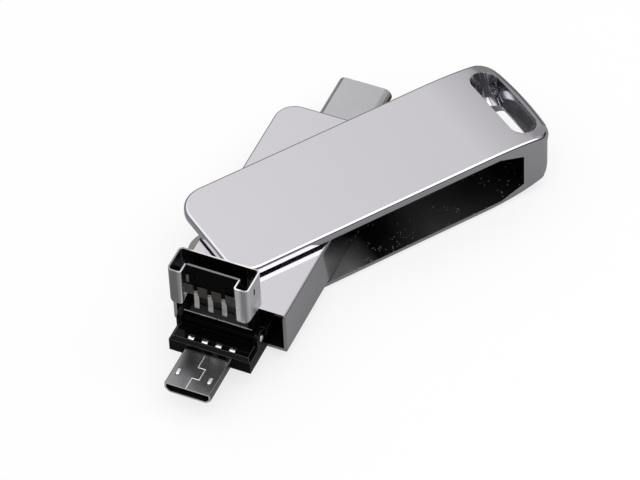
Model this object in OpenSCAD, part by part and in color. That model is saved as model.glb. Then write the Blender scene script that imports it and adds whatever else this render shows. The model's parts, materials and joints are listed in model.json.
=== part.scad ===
// Three-plug flash drive: a flat metal body turns inside a two-plate swivel
// cover. A USB-C plug leaves the body's rear. At its front a hinged USB-A
// plug lies over a micro-USB plug, or stands up to free it.
//
// Frame: +X runs along the cover to its open front, +Z is up, and the origin
// is where the swivel axis meets the cover's flat underside.
// "Body frame" below means: origin on the swivel axis at mid height, with +X
// towards the front plugs.

/* [Pose] */
// Turn of the body away from the cover's long axis, in degrees
swivel_angle = 35.2; // [-130:0.1:130]
// Angle of the flip plug: 0 lies shut over the small plug, 90 stands up
flip_angle = 90; // [0:1:90]

/* [Cover] */
// Width of the plates
cover_w = 17.7; // [15.4:0.1:22]
// Swivel axis to the open front end
cover_front = 12.15; // [10:0.05:15]
// Free length between the slot's inner wall and the lanyard end
lanyard_block = 5.7; // [5.1:0.05:8]
// Gap between each plate and the body
body_gap = 0.5; // [0.2:0.05:1]
// Thickness of each plate
plate_t = 1.25; // [0.8:0.05:2]
// Corner radius of the plates at the front
front_r = 4; // [1:0.1:7]
// Corner radius in plan at the lanyard end
end_r = 2.8; // [0.5:0.1:4]
// How far the lanyard end bows out in plan
end_bow = 0.9; // [0.2:0.1:1.5]
// Edge radius under the lanyard end
heel_r = 2.4; // [0.5:0.1:2.5]
// How far the top comes down at the lanyard end
end_droop = 0.8; // [0:0.1:1.2]
// How far the underside rises there
end_rise = 2.2; // [0.1:0.1:2.6]
// Length over which they come together
droop_len = 12; // [6:0.5:16]
// Room between the turned-in plug and the slot's inner wall
slot_room = 1.65; // [0.5:0.05:4]
// Height of the slot's inner wall
slot_wall_h = 5.5; // [3:0.1:7]
// Length of the slopes that lead to the inner wall
slot_slope = 3.95; // [1:0.05:6]

/* [Lanyard hole] */
// Length across the cover at the surface
rim_l = 14; // [12:0.1:15]
// Width at the surface
rim_w = 4.3; // [4:0.1:4.5]
// Length below the rim bevel
well_l = 11.6; // [10:0.1:11.9]
// Width below the rim bevel
well_w = 3.7; // [3:0.1:3.9]
// Length of the throat at mid height
throat_l = 9; // [6:0.1:11]
// Half height of the straight part of the hole
well_z = 3; // [2:0.1:3.6]
// Half height of the throat's bevels
throat_z = 1; // [0.3:0.1:1.8]
// Wall left at the lanyard end
lanyard_wall = 1.5; // [0.8:0.05:2]
// Slope at which the lower half opens towards the lanyard end
flare = 0.56; // [0.3:0.02:0.7]

/* [Body] */
// Width of the sleeve
body_w = 17.1; // [15.6:0.1:21]
// Height of the sleeve
body_h = 7.3; // [6:0.1:9]
// Swivel axis to the open front of the sleeve
body_front = 17.8; // [15:0.1:24]
// Swivel axis to the rear face
body_back = 19.9; // [17:0.1:26]
// Sheet thickness of the sleeve
body_wall = 0.5; // [0.3:0.05:0.6]
// Corner radius in plan at the rear
body_r = 3; // [1:0.1:3.6]

/* [Swivel] */
// Diameter of the pivot studs
stud_d = 4; // [3:0.1:5]
// Depth of the groove that holds the snap ring
groove_deep = 0.4; // [0.2:0.05:0.6]
// How far the snap ring stands out around the stud
ring_rim = 1; // [0.6:0.1:1.5]
// Thickness of the snap rings
ring_t = 0.4; // [0.3:0.05:0.5]
// Outer diameter of the friction washers
washer_d = 9; // [7:0.1:14]

/* [USB-C plug] */
// Width of the shell
c_w = 8.25; // [8.2:0.05:8.3]
// Height of the shell
c_h = 2.4; // [2.35:0.05:2.45]
// Length outside the body
c_out = 9.65; // [7:0.05:10]
// Height of its centre line in the body frame
c_z = 0.2; // [-0.2:0.05:0.4]
// Sheet thickness of the shell
c_wall = 0.25; // [0.2:0.05:0.3]

/* [Micro-USB plug] */
// Width of the shell
m_w = 6.85; // [6.8:0.05:6.9]
// Height of the shell
m_h = 1.8; // [1.75:0.05:1.85]
// Bevel of the lower corners
m_bevel = 0.65; // [0.4:0.05:0.7]
// Length in front of the carrier
m_out = 7.2; // [6:0.1:7.6]
// Height of its flat top in the body frame
m_top = -0.1; // [-0.2:0.05:0]
// Sheet thickness of the shell
m_wall = 0.25; // [0.2:0.05:0.25]

/* [USB-A plug] */
// Width of the shell
a_w = 12; // [11.9:0.05:12.1]
// Height of the shell
a_h = 4.5; // [4.45:0.05:4.55]
// Sheet thickness of the shell
a_wall = 0.3; // [0.25:0.05:0.35]
// Outer corner radius
a_r = 0.7; // [0.4:0.05:1]
// Clear width between the folded lips
lip_gap = 7.75; // [7.4:0.05:8.2]
// Hinge axis to the mouth
a_reach = 12.15; // [12:0.05:14]
// Thickness of the plastic tongue
tongue_t = 0.35; // [0.3:0.05:0.4]

/* [Hinge and carrier] */
// Front of the sleeve to the hinge axis
hinge_out = 2.85; // [2.6:0.05:3.2]
// Height of the hinge axis in the body frame
hinge_z = 1.15; // [1.15:0.05:1.3]
// Diameter of the hinge pin
pin_d = 1; // [0.6:0.05:1]
// Radius of the knuckle around the pin
knuckle_r = 0.95; // [0.8:0.05:0.95]
// Radius of the ears that hold the pin
ear_r = 1.25; // [1:0.05:1.6]
// Thickness of each ear
ear_t = 0.67; // [0.5:0.01:0.9]
// Width of the carrier
carrier_w = 12.2; // [11.8:0.1:15]
// Hinge axis to the carrier's front face
carrier_out = 3.9; // [3.6:0.05:4.1]
// Height of the carrier's top in the body frame
carrier_top = 0.5; // [0.4:0.05:0.55]
// Bevel round the carrier's top
seat_bevel = 0.5; // [0.2:0.05:0.6]
// Plastic left under the micro-USB plug
carrier_floor = 0.2; // [0.15:0.05:0.6]
// Pitch of the four carrier contacts
pad_pitch = 2.06; // [1.9:0.02:2.2]

/* [Board] */
// Thickness of the circuit board
board_t = 0.8; // [0.6:0.1:0.9]
// Width of the circuit board
board_w = 13.4; // [11:0.1:14]

/* [Clearances] */
// Radial play of every turning pin or stud
turn_play = 0.03; // [0.01:0.01:0.1]
// Gap between pieces that pass each other
pass_gap = 0.08; // [0.05:0.01:0.1]
// Gap between pieces that are fitted together
fit_gap = 0.03; // [0.01:0.01:0.06]

/* [Hidden] */

$fn = 96;
over = 1;                              // how far a cut runs past a face
upper = 1;
lower = -1;

body_half = body_h / 2;
inner_half = body_half + body_gap;     // mid height to a plate's inner face
mid_z = inner_half + plate_t;
cover_h = 2 * mid_z;
bore_half = body_half - body_wall;     // to the sleeve's inner faces
bore_w = body_w - 2 * body_wall - 2 * fit_gap;
knuckle_w = carrier_w - 2 * (ear_t + pass_gap);
groove_d = stud_d - 2 * groove_deep;
ring_d = stud_d + 2 * ring_rim;

hinge_x = body_front + hinge_out;
carrier_front = hinge_x + carrier_out;
m_tip = carrier_front + m_out;
m_bottom = m_top - m_h;
carrier_bottom = m_bottom - carrier_floor;
c_tip = body_back + c_out;

// The longer plug sets the slot's inner wall.
a_mouth = hinge_x + a_reach;
slot_end = max(a_mouth, c_tip) + slot_room;
cover_back = slot_end + lanyard_block;
hole_x = -cover_back + lanyard_wall + well_w / 2;

board_top = carrier_top;
board_bottom = board_top - board_t;
board_front = hinge_x - knuckle_r - 0.35;
board_back = body_back - body_wall - 2;
board_nose_w = 10;                     // board width inside the carrier
board_notch = 3.4;                     // depth of the notch for the USB-C plug
chip_h = 1;
tray_front = body_front - 4.5;

// Flip plug heights, measured with the plug shut, in the body frame
a_bottom = m_bottom;
a_top = a_bottom + a_h;
tongue_bottom = m_top + pass_gap;
tongue_top = tongue_bottom + tongue_t;
finger_t = 0.15;                       // strip thickness of the spring fingers
pad_rise = 0.05;                       // contact height above the carrier
finger_bottom = carrier_top + pad_rise + pass_gap;
shell_rear = carrier_front + 1.95;     // rear end of the shell's sides
block_front = hinge_x + 1.85;          // front of the knuckle block
window_front = hinge_x + 6.3;          // front end of the finger window
finger_tip = hinge_x + 2.95;

function arc_points(cx, cz, r, a0, a1, n) =
    [for (i = [0 : n]) let (a = a0 + (a1 - a0) * i / n) [cx + r * cos(a), cz + r * sin(a)]];

// Places children given in the body frame.
module in_body() {
    translate([0, 0, mid_z]) rotate([0, 0, swivel_angle]) children();
}

// Places children drawn with the flip plug shut, in the body frame.
module in_flip_plug() {
    in_body() translate([hinge_x, 0, hinge_z]) rotate([0, -flip_angle, 0])
        translate([-hinge_x, 0, -hinge_z]) children();
}

// Block between two X, a full width centred on Y, and two Z.
module slab(x0, x1, w, z0, z1) {
    translate([x0, -w / 2, z0]) cube([x1 - x0, w, z1 - z0]);
}

// Round bar along Y.
module bar_y(x, z, r, w) {
    translate([x, 0, z]) rotate([90, 0, 0]) cylinder(r = r, h = w, center = true);
}

// Rectangle with its own corner radius at each X end, or none.
module rounded_plan(x0, x1, w, r0, r1) {
    translate([x0 + r0, -w / 2]) square([x1 - x0 - r0 - r1, w]);
    if (r0 > 0) plan_end(x0, x0 + r0, w, r0);
    if (r1 > 0) plan_end(x1 - r1, x1 - r1, w, r1);
}

module plan_end(x, centre_x, w, r) {
    translate([x, -w / 2 + r]) square([r, w - 2 * r]);
    for (s = [-1, 1]) translate([centre_x, s * (w / 2 - r)]) circle(r = r);
}

// Extrudes an outline drawn in X and Z over a width centred on Y.
module along_y(w) {
    rotate([90, 0, 0]) linear_extrude(w, center = true) children();
}

// Extrudes an outline drawn in Y and Z between two X.
module along_x(x0, x1) {
    translate([x0, 0, 0]) rotate([90, 0, 90]) linear_extrude(x1 - x0) children();
}

// Turns a piece drawn for the upper side over to the lower one.
module on_side(side) {
    if (side == upper) children();
    if (side == lower) mirror([0, 0, 1]) children();
}

// Slot outline with round ends, long side along Y.
module slot_y(w, l) {
    square([w, l - w], center = true);
    for (s = [-1, 1]) translate([0, s * (l - w) / 2]) circle(d = w, $fn = 48);
}

// Solid with a stadium section, long side along Y, between two X.
module stadium_x(x0, x1, w, h, z) {
    translate([0, 0, z]) along_x(x0, x1) {
        square([w - h, h], center = true);
        for (s = [-1, 1]) translate([s * (w - h) / 2, 0]) circle(d = h);
    }
}

// ---- Cover ----

// Side outline of the cover with the drawn-in lanyard end.
module cover_side() {
    x_start = -cover_back + droop_len;
    droop_r = (droop_len * droop_len + end_droop * end_droop) / (2 * max(end_droop, 0.01));
    a_end = asin(droop_len / droop_r);
    top = arc_points(x_start, mid_z - droop_r, droop_r, 90, 90 + a_end, 8);
    // the underside's long arc and the heel's small one meet without a corner
    rise_r = (droop_len * droop_len + end_rise * end_rise) / (2 * end_rise);
    a_heel = asin((droop_len - heel_r) / (rise_r - heel_r));
    heel_z = -mid_z + rise_r - (rise_r - heel_r) * cos(a_heel);
    heel = arc_points(-cover_back + heel_r, heel_z, heel_r, 180, 270 - a_heel, 12);
    bottom = arc_points(x_start, -mid_z + rise_r, rise_r, -90 - a_heel, -90, 6);
    polygon(concat([[cover_front, mid_z]], top, heel, bottom, [[cover_front, -mid_z]]));
}

// Outline of the cover in plan, bowed out at the lanyard end.
module cover_plan() {
    half_w = cover_w / 2;
    bow_r = (half_w * half_w + end_bow * end_bow) / (2 * end_bow);
    side_y = half_w - end_r;
    a_bow = asin(side_y / (bow_r - end_r));
    corner_x = -cover_back + bow_r - (bow_r - end_r) * cos(a_bow);
    rounded_plan(corner_x, cover_front, cover_w, 0, front_r);
    for (s = [-1, 1]) translate([corner_x, s * side_y]) circle(r = end_r);
    polygon(concat(
        arc_points(-cover_back + bow_r, 0, bow_r, 180 - a_bow, 180 + a_bow, 12),
        [[corner_x + over, -side_y], [corner_x + over, side_y]]));
}

module cover_slot_side() {
    x0 = -slot_end;
    polygon([[cover_front + over, inner_half], [x0 + slot_slope, inner_half],
        [x0, slot_wall_h / 2], [x0, -slot_wall_h / 2],
        [x0 + slot_slope, -inner_half], [cover_front + over, -inner_half]]);
}

// One tapering step of the lanyard hole. Each end is given by its height, width,
// length and how far it runs out towards the lanyard end.
module hole_step(ends) {
    skin = 0.01;
    hull() for (e = ends) translate([-e[3] / 2, 0, e[0] - skin / 2])
        linear_extrude(skin) slot_y(e[1] + e[3], e[2], $fn = 32);
}

module lanyard_hole() {
    rim_z = mid_z - end_droop / 2;
    rim_slope = (rim_w - well_w) / (rim_z - well_z);
    rim_rake = (rim_l - well_l) / (rim_z - well_z);
    top_z = mid_z + over;
    step_l = well_l - 0.6;
    upper_steps = [[top_z, rim_w + rim_slope * (top_z - rim_z),
        rim_l + rim_rake * (top_z - rim_z), 0], [well_z, well_w, well_l, 0],
        [throat_z, well_w, step_l, 0], [0, well_w, throat_l, 0]];
    lower_steps = [[0, well_w, throat_l, 0], [-throat_z, well_w, step_l, flare * throat_z],
        [-top_z, well_w, rim_l, flare * top_z]];
    translate([hole_x, 0, 0]) for (steps = [upper_steps, lower_steps], i = [1 : len(steps) - 1])
        hole_step([steps[i - 1], steps[i]]);
}

module cover() {
    color("silver") translate([0, 0, mid_z]) difference() {
        intersection() {
            translate([0, 0, -mid_z - over]) linear_extrude(cover_h + 2 * over)
                cover_plan();
            along_y(cover_w + 2 * over) cover_side();
        }
        along_y(cover_w + 2 * over) cover_slot_side();
        lanyard_hole();
    }
}

// ---- Swivel: a stud on each plate, held in the sleeve by a snap ring ----

ring_z = bore_half - pass_gap - ring_t; // ring's face towards the board
stud_end = ring_z - 0.25;

module pivot_stud(side) {
    color("gainsboro") translate([0, 0, mid_z]) on_side(side)
        difference() {
            translate([0, 0, stud_end]) cylinder(d = stud_d, h = inner_half - stud_end);
            translate([0, 0, ring_z - fit_gap]) difference() {
                cylinder(d = stud_d + over, h = ring_t + 2 * fit_gap);
                cylinder(d = groove_d, h = ring_t + 2 * fit_gap);
            }
        }
}

module friction_washer(side) {
    color("white") translate([0, 0, mid_z]) on_side(side)
        translate([0, 0, body_half + fit_gap]) difference() {
            cylinder(d = washer_d, h = body_gap - fit_gap);
            cylinder(d = stud_d + 2 * fit_gap, h = body_gap - fit_gap);
        }
}

module snap_ring(side) {
    mouth = groove_d - 0.5;            // the opening that lets it slip onto the stud
    color("dimgray") translate([0, 0, mid_z]) on_side(side)
        translate([0, 0, ring_z]) difference() {
            cylinder(d = ring_d, h = ring_t);
            cylinder(d = groove_d + 2 * fit_gap, h = ring_t);
            translate([0, -mouth / 2, 0]) cube([ring_d, mouth, ring_t]);
        }
}

// ---- Body ----

module body_sleeve() {
    color("silver") in_body() difference() {
        translate([0, 0, -body_half]) linear_extrude(body_h)
            rounded_plan(-body_back, body_front, body_w, body_r, 0);
        translate([0, 0, -bore_half]) linear_extrude(2 * bore_half)
            rounded_plan(-body_back + body_wall, body_front + over, body_w - 2 * body_wall,
                body_r - body_wall, 0);
        cylinder(d = stud_d + 2 * turn_play, h = body_h + over, center = true);
        stadium_x(-body_back - over, -body_back + 2 * body_wall, c_w + 2 * fit_gap,
            c_h + 2 * fit_gap, c_z);
    }
}

tray_wall = 0.8;

// Half of the plastic frame that fills the sleeve above or below the board.
module tray(side) {
    inner_face = side == upper ? board_top : -board_bottom;
    back = -body_back + body_wall + fit_gap;
    color([0.08, 0.08, 0.09]) in_body() on_side(side) difference() {
        translate([0, 0, inner_face]) linear_extrude(bore_half - fit_gap - inner_face)
            rounded_plan(back, tray_front, bore_w, body_r - body_wall, 0);
        // pocket over the board's components
        slab(back + 5, tray_front - tray_wall, board_w - 2 * tray_wall, inner_face - over,
            inner_face + chip_h + 0.15);
        // room for the snap ring, with the channel by which the tray slides past it
        translate([0, 0, stud_end - pass_gap]) cylinder(d = ring_d + over, h = body_half);
        slab(back - over, 0, ring_d + over, stud_end - pass_gap, body_half);
        // room for the USB-C plug
        slab(back - over, -c_root, c_w + 2 * fit_gap, -over,
            c_h / 2 + side * c_z + fit_gap);
    }
}

module circuit_board() {
    color("darkgreen") in_body() difference() {
        union() {
            slab(-board_back, tray_front - fit_gap, board_w, board_bottom, board_top);
            slab(-board_back, board_front, board_nose_w, board_bottom, board_top);
        }
        slab(-board_back - over, -c_root, c_w + 2 * fit_gap,
            board_bottom - over, board_top + over);
    }
}

module memory_chip() {
    color([0.1, 0.1, 0.11]) in_body() slab(-10.5, 1.5, 10, board_top, board_top + chip_h);
}

module controller_chip() {
    color([0.1, 0.1, 0.11]) in_body() translate([-2, 0, 0])
        slab(-3, 3, 6, board_bottom - 0.85, board_bottom);
}

module crystal() {
    color("gainsboro") in_body() slab(4, 6.5, 2, board_bottom - 0.7, board_bottom);
}

// Resistors and capacitors in two rows on the board's underside.
module passives() {
    pitch = 1.8;
    color("tan") in_body() for (s = [-1, 1], i = [0 : 3])
        translate([-5 + i * pitch, s * 4.6, board_bottom - 0.5]) cube([1, 0.5, 0.5]);
}

// ---- USB-C plug ----

c_inner_w = c_w - 2 * c_wall;
c_inner_h = c_h - 2 * c_wall;
c_root = board_back - board_notch;     // where the shell ends against the board
c_face = 0.15;                         // housing set back from the shell's rim
c_depth = 6.2;                         // depth of the plug's mouth
c_mouth_w = 6.7;
c_mouth_h = 0.86;

module usb_c_shell() {
    color("silver") in_body() difference() {
        stadium_x(-c_tip, -c_root, c_w, c_h, c_z);
        stadium_x(-c_tip - over, -c_root + over, c_inner_w, c_inner_h, c_z);
    }
}

// Grooves in which the two rows of contacts lie.
module c_contact_row(s, x0, x1, w, deep) {
    pitch = 0.5;
    for (i = [0 : 11]) translate([0, (i - 5.5) * pitch, 0])
        slab(x0, x1, w, c_z + (s > 0 ? c_mouth_h / 2 : -c_mouth_h / 2 - deep),
            c_z + (s > 0 ? c_mouth_h / 2 + deep : -c_mouth_h / 2));
}

module usb_c_housing() {
    color([0.07, 0.07, 0.08]) in_body() difference() {
        stadium_x(-c_tip + c_face, -c_root, c_inner_w - 2 * fit_gap,
            c_inner_h - 2 * fit_gap, c_z);
        slab(-c_tip - over, -c_tip + c_depth, c_mouth_w, c_z - c_mouth_h / 2,
            c_z + c_mouth_h / 2);
        for (s = [-1, 1]) c_contact_row(s, -c_tip + 0.9, -c_tip + c_depth, 0.3, 0.2);
        // slot for the latch plate
        slab(-c_tip + c_depth - over, -c_root + over, c_mouth_w, c_z - 0.09, c_z + 0.09);
    }
}

module usb_c_contacts() {
    color("gold") in_body() for (s = [-1, 1])
        c_contact_row(s, -c_tip + 1, -c_tip + c_depth - fit_gap, 0.24, 0.15);
}

// Mid plate with a latch arm on each side of the mouth.
module usb_c_latch_plate() {
    arm = 0.35;
    color("silver") in_body() {
        slab(-c_tip + c_depth - 0.6, -c_root, c_mouth_w - 2 * fit_gap, c_z - 0.07, c_z + 0.07);
        for (s = [-1, 1]) translate([0, s * (c_mouth_w / 2 - fit_gap - arm / 2), 0])
            slab(-c_tip + 1.3, -c_tip + c_depth - 0.6, arm, c_z - 0.07, c_z + 0.07);
    }
}

// ---- Carrier for the micro-USB plug and the hinge ----

flange_t = 1.2;                        // closes the sleeve and centres the carrier
neck_top = board_top + 0.7;
seat_rear = hinge_x - ear_r - 0.6;     // where the neck ends and the seat begins
lip_out = 0.75;                        // small lip on top of the plug's root
lip_w = m_w - 0.25;

// Section of the micro-USB plug, grown by g; the lower corners are bevelled.
module micro_section(g) {
    w = m_w / 2 + g;
    b = m_bevel;
    translate([0, m_top]) polygon([[-w, g], [w, g], [w, -m_h + b], [w - b, -m_h - g],
        [-w + b, -m_h - g], [-w, -m_h + b]]);
}

module carrier_pad_places() {
    for (i = [-1.5 : 1 : 1.5]) translate([0, i * pad_pitch, 0]) children();
}

pad_front = carrier_front - 0.65;
pad_rear = pad_front - 0.75;
pad_w = 0.85;
pad_t = 0.15;

module carrier() {
    flange_half = bore_half - fit_gap;
    color([0.05, 0.05, 0.06]) in_body() difference() {
        union() {
            slab(tray_front, tray_front + flange_t, bore_w, -flange_half, flange_half);
            slab(tray_front, seat_rear, carrier_w, carrier_bottom, neck_top);
            slab(tray_front, carrier_front, carrier_w, carrier_bottom, carrier_top);
            along_y(lip_w) polygon([[carrier_front - over, m_top + 0.4],
                [carrier_front, m_top + 0.4], [carrier_front + lip_out, m_top + 0.07],
                [carrier_front + lip_out, m_top], [carrier_front - over, m_top]]);
            for (s = [-1, 1]) translate([0, s * (carrier_w - ear_t) / 2, 0]) {
                bar_y(hinge_x, hinge_z, ear_r, ear_t);
                slab(hinge_x - ear_r, hinge_x + ear_r, ear_t, carrier_bottom, hinge_z);
            }
        }
        // pocket of the micro-USB plug, then the slot of the board
        along_x(board_front, carrier_front + lip_out + over) micro_section(fit_gap);
        slab(tray_front - over, board_front + fit_gap, board_nose_w + 2 * fit_gap,
            board_bottom - 0.6, board_top + fit_gap);
        // trough in which the knuckle turns
        bar_y(hinge_x, hinge_z, knuckle_r + pass_gap, knuckle_w + 2 * pass_gap);
        bar_y(hinge_x, hinge_z, pin_d / 2, carrier_w + over);
        carrier_pad_places() slab(pad_rear - fit_gap, pad_front + fit_gap, pad_w + 2 * fit_gap,
            carrier_top - pad_t, carrier_top + over);
        carrier_bevels();
    }
}

// Cuts that bevel the seat's top at its front and sides, in front of the ears.
module carrier_bevels() {
    low = carrier_top - seat_bevel;
    high = carrier_top + over;
    far = seat_bevel + over;
    along_y(carrier_w + over) polygon([[carrier_front, low], [carrier_front + over, low],
        [carrier_front + over, high], [carrier_front - far, high]]);
    for (s = [-1, 1]) along_x(hinge_x + ear_r, carrier_front + over)
        polygon([[s * carrier_w / 2, low], [s * (carrier_w / 2 + over), low],
            [s * (carrier_w / 2 + over), high], [s * (carrier_w / 2 - far), high]]);
}

// Four sprung contacts that meet the flip plug's fingers.
module carrier_contacts() {
    color("gold") in_body() carrier_pad_places()
        slab(pad_rear, pad_front, pad_w, carrier_top - pad_t, carrier_top + pad_rise);
}

// ---- Micro-USB plug ----

m_root = board_front + 0.3;
latch_y = 2.35;
latch_w = 0.55;
latch_travel = 0.25;
latch_root = 0.7;                      // length of the bar that joins the two arms
arm_t = 0.15;
arm_top = m_top - m_wall - pass_gap;
hook_rise = 0.18;
hook_front = m_tip - 1.75;
hook_len = 1;

// The slots in the flat top, one on each side.
module at_latches() {
    for (s = [-1, 1]) translate([0, s * latch_y, 0]) children();
}

module micro_usb_shell() {
    color("silver") in_body() difference() {
        along_x(m_root, m_tip) micro_section(0);
        along_x(m_root - over, m_tip + over) micro_section(-m_wall);
        at_latches() slab(hook_front - hook_len - 0.3, hook_front + 0.12, latch_w + 0.16,
            m_top - m_wall - 0.2, m_top + over);
    }
}

m_rest = carrier_front + 1.4;          // front face of the housing's solid part
m_tongue_top = m_bottom + m_wall + 0.4;
m_pitch = 0.65;

module micro_usb_housing() {
    color([0.06, 0.06, 0.07]) in_body() difference() {
        union() {
            along_x(m_root, m_rest) micro_section(-m_wall - fit_gap);
            slab(m_rest - 0.1, m_tip - 0.4, 4.4, m_bottom + m_wall + fit_gap, m_tongue_top);
        }
        // each latch arm runs in its own channel, and their bar in a cross channel
        at_latches() slab(m_root - over, m_rest + over, latch_w + 2 * pass_gap,
            arm_top - arm_t - latch_travel - pass_gap, m_top);
        slab(m_root - over, m_root + latch_root + pass_gap,
            2 * latch_y + latch_w + 2 * pass_gap, arm_top - arm_t - pass_gap, m_top);
        for (i = [-2 : 2]) translate([0, i * m_pitch, 0])
            slab(m_root - over, m_tip - 0.7, 0.36, m_tongue_top - 0.12, m_tongue_top + 0.05);
    }
}

module micro_usb_contacts() {
    color("gold") in_body() for (i = [-2 : 2]) translate([0, i * m_pitch, 0])
        slab(m_root, m_tip - 0.75, 0.3, m_tongue_top - 0.1, m_tongue_top + 0.02);
}

// Two sprung arms with a hook each, which bend in from the bar at their root.
module micro_usb_latch() {
    color("gainsboro") in_body() {
        slab(m_root, m_root + latch_root, 2 * latch_y + latch_w, arm_top - arm_t, arm_top);
        at_latches() {
            slab(m_root, hook_front, latch_w, arm_top - arm_t, arm_top);
            slab(hook_front - hook_len, hook_front, latch_w, arm_top - arm_t, m_top + hook_rise);
        }
    }
}

module hinge_pin() {
    color("gainsboro") in_body() bar_y(hinge_x, hinge_z, pin_d / 2, carrier_w);
}

// ---- Flip plug, drawn shut over the micro-USB plug ----

// Section of the shell: a C that is open below between two folded lips.
module shell_section() {
    w = a_w / 2;
    difference() {
        translate([0, (a_top + a_bottom) / 2]) rounded_rect(a_w, a_h, a_r);
        translate([0, (a_top + a_bottom) / 2])
            rounded_rect(a_w - 2 * a_wall, a_h - 2 * a_wall, a_r - a_wall);
        translate([-lip_gap / 2, a_bottom - over]) square([lip_gap, over + a_wall * 2]);
    }
    for (s = [-1, 1]) translate([s * (lip_gap + a_wall) / 2, (a_bottom + tongue_bottom) / 2])
        square([a_wall, tongue_bottom - a_bottom], center = true);
}

module rounded_rect(w, h, r) {
    square([w - 2 * r, h], center = true);
    square([w, h - 2 * r], center = true);
    for (i = [-1, 1], j = [-1, 1]) translate([i * (w / 2 - r), j * (h / 2 - r)])
        circle(r = r, $fn = 48);
}

tab_front = hinge_x + 10.85;           // the tongue's tabs in the shell's sides
tab_rear = tab_front - 1.3;
tail_rear = hinge_x + 1.5;             // rear end of the shell's broad wall
tail_w = min(a_w - 2 * a_r, knuckle_w - 2 * pass_gap);

module flip_plug_shell() {
    color("silver") in_flip_plug() difference() {
        union() {
            along_x(shell_rear, a_mouth) shell_section();
            slab(tail_rear, shell_rear, tail_w, a_top - a_wall, a_top);
        }
        slab(tab_rear - fit_gap, tab_front + fit_gap, a_w + over,
            tongue_bottom - fit_gap, tongue_top + fit_gap);
    }
}

a_inner_w = a_w - 2 * a_wall - 2 * fit_gap;
cheek_w = min(knuckle_w, a_inner_w);   // across the cheeks, which fit inside the shell
contact_t = 0.12;
rail_w = 0.9;
tongue_rear = carrier_front + pass_gap;
floor_z = carrier_top + pass_gap;

module flip_plug_housing() {
    roof = a_top - a_wall;
    color([0.05, 0.05, 0.06]) in_flip_plug() difference() {
        union() {
            // tongue with its tabs
            slab(tongue_rear, a_mouth - 0.2, a_inner_w, tongue_bottom, tongue_top);
            slab(tab_rear, tab_front, a_w, tongue_bottom, tongue_top);
            // block behind the mouth, and the cheeks that carry the tongue
            slab(hinge_x + 0.5, block_front, knuckle_w, floor_z, roof);
            for (s = [-1, 1]) translate([0, s * (cheek_w - rail_w) / 2, 0]) {
                slab(block_front - over, window_front, rail_w, floor_z, roof);
                slab(tongue_rear, window_front, rail_w, tongue_bottom, roof);
            }
            bar_y(hinge_x, hinge_z, knuckle_r, knuckle_w);
        }
        // window through which the carrier's contacts reach the fingers
        slab(tongue_rear - over, window_front, cheek_w - 2 * rail_w, tongue_bottom - over,
            tongue_top + over);
        carrier_pad_places() slab(window_front - over, window_front + 0.8, 1.1,
            tongue_bottom - over, tongue_top + over);
        // relief over the micro-USB hooks
        at_latches() slab(hook_front - hook_len - 0.4, hook_front + 0.4, latch_w + 0.4,
            tongue_bottom - over, m_top + hook_rise + pass_gap);
        bar_y(hinge_x, hinge_z, pin_d / 2 + turn_play, knuckle_w + over);
    }
}

// Four strips that lie on the tongue and end in spring fingers.
module flip_plug_contacts() {
    strip_front = a_mouth - 1.2;
    finger_w = 0.75;
    color("gold") in_flip_plug() carrier_pad_places() {
        slab(window_front + 0.4, strip_front, 1, tongue_top, tongue_top + contact_t);
        slab(window_front - 0.1, window_front + 0.5, finger_w, tongue_top, finger_bottom + finger_t);
        slab(finger_tip, window_front, finger_w, finger_bottom, finger_bottom + finger_t);
    }
}

cover();
pivot_stud(upper);  // pivot_stud_upper
pivot_stud(lower);  // pivot_stud_lower
friction_washer(upper);  // friction_washer_upper
friction_washer(lower);  // friction_washer_lower
snap_ring(upper);  // snap_ring_upper
snap_ring(lower);  // snap_ring_lower
body_sleeve();
tray(upper);  // tray_upper
tray(lower);  // tray_lower
circuit_board();
memory_chip();
controller_chip();
crystal();
passives();
usb_c_shell();
usb_c_housing();
usb_c_contacts();
usb_c_latch_plate();
carrier();
carrier_contacts();
micro_usb_shell();
micro_usb_housing();
micro_usb_contacts();
micro_usb_latch();
hinge_pin();
flip_plug_shell();
flip_plug_housing();
flip_plug_contacts();
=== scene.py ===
"""Looks of a three-plug flash drive, built around its packed frame.

Lengths are in metres. "Body frame" means: origin on the swivel axis at mid height, X towards
the front plugs, Y along the flip plug's hinge. The flip plug is drawn standing up, as at rest.
"""

import json
import math

import bmesh
import bpy
from mathutils import Matrix, Vector


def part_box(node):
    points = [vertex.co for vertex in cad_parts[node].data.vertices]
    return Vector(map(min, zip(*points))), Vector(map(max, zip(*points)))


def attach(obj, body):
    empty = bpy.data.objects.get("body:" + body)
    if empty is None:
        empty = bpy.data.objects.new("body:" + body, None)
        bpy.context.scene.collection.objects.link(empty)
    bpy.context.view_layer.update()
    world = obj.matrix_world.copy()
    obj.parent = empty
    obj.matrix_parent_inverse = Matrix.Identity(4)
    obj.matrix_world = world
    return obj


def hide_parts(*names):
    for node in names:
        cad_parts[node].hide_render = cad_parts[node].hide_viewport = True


bl_info = {
    "name": "Three-plug flash drive",
    "version": (1, 0, 0),
    "blender": (4, 5, 0),
    "location": "View3D > Sidebar > Flash drive",
    "description": "Builds the finished pieces of a swivel flash drive around its frame",
    "category": "Object",
}

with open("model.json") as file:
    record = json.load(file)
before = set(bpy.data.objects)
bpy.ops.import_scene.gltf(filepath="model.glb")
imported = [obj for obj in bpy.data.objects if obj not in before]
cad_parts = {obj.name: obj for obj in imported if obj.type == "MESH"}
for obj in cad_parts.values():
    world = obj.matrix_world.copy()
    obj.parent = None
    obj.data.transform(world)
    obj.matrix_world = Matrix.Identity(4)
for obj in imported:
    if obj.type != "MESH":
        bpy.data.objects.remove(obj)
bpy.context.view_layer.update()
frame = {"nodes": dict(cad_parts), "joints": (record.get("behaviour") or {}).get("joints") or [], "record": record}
JOINTS = {joint["name"]: joint for joint in frame["joints"]}
MM = 0.001
OVER = 1.0 * MM
# Places that are closer than this are the same.
NEAR = 1e-6
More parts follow.
